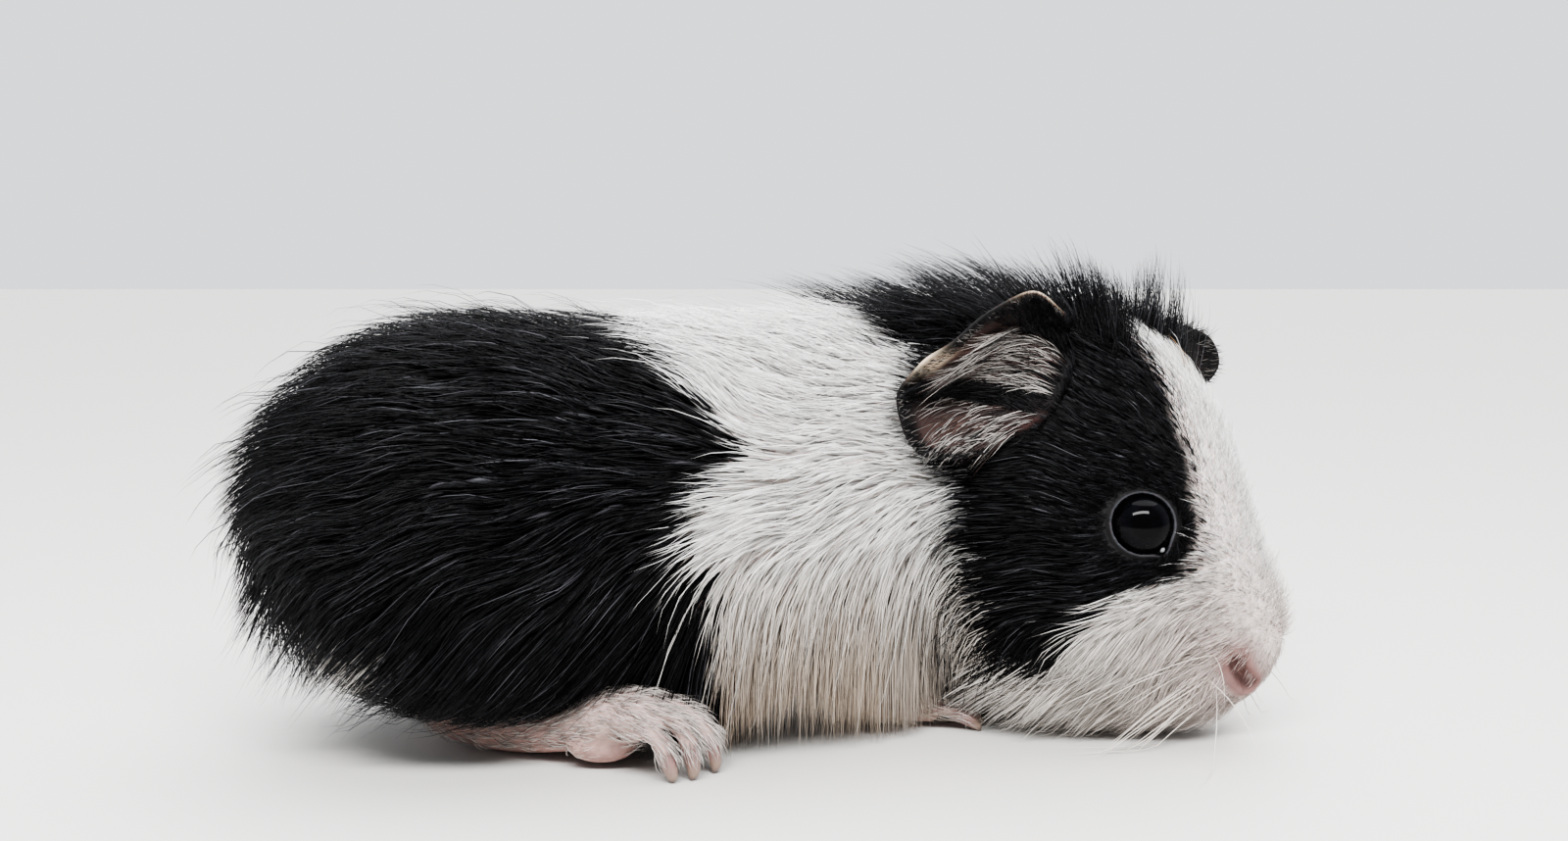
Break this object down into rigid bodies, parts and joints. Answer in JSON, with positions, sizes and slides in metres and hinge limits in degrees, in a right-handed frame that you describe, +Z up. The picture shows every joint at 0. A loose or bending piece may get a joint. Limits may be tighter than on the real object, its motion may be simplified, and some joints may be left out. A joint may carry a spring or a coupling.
{
  "type": "long-haired guinea pig",
  "caption": "Still, life-size model of a young long-haired guinea pig, black and white, crouching on its belly with its head lowered and turned a little aside.",
  "frame": {"origin": "the middle of the flat on the belly that the animal rests on", "axes": "+X towards the nose end, +Y towards the animal's left side, +Z up"},
  "size_m": [0.161, 0.0711, 0.0762],
  "materials": {
    "black_coat": "soft black fur with a faint blue-grey sheen",
    "white_coat": "soft white fur, cream low on the chest",
    "pink_skin": "bare pink skin with short white hair",
    "ear_skin": "thin dark skin with fine silvery hair inside",
    "eye_gloss": "wet, glossy and nearly black",
    "claw_horn": "smooth translucent horn with darker tips"
  },
  "bodies": {
    "root": {"torso": "black_coat", "neck": "white_coat", "head": "black_coat", "ear_right": "ear_skin", "ear_left": "ear_skin", "eye_right": "eye_gloss", "eye_left": "eye_gloss", "foreleg_right": "pink_skin", "foreleg_left": "pink_skin", "hindleg_right": "pink_skin", "hindleg_left": "pink_skin", "claw_fore_right_1": "claw_horn", "claw_fore_right_2": "claw_horn", "claw_fore_right_3": "claw_horn", "claw_fore_right_4": "claw_horn", "claw_fore_left_1": "claw_horn", "claw_fore_left_2": "claw_horn", "claw_fore_left_3": "claw_horn", "claw_fore_left_4": "claw_horn", "claw_hind_right_1": "claw_horn", "claw_hind_right_2": "claw_horn", "claw_hind_right_3": "claw_horn", "claw_hind_left_1": "claw_horn", "claw_hind_left_2": "claw_horn", "claw_hind_left_3": "claw_horn"}
  },
  "joints": []
}
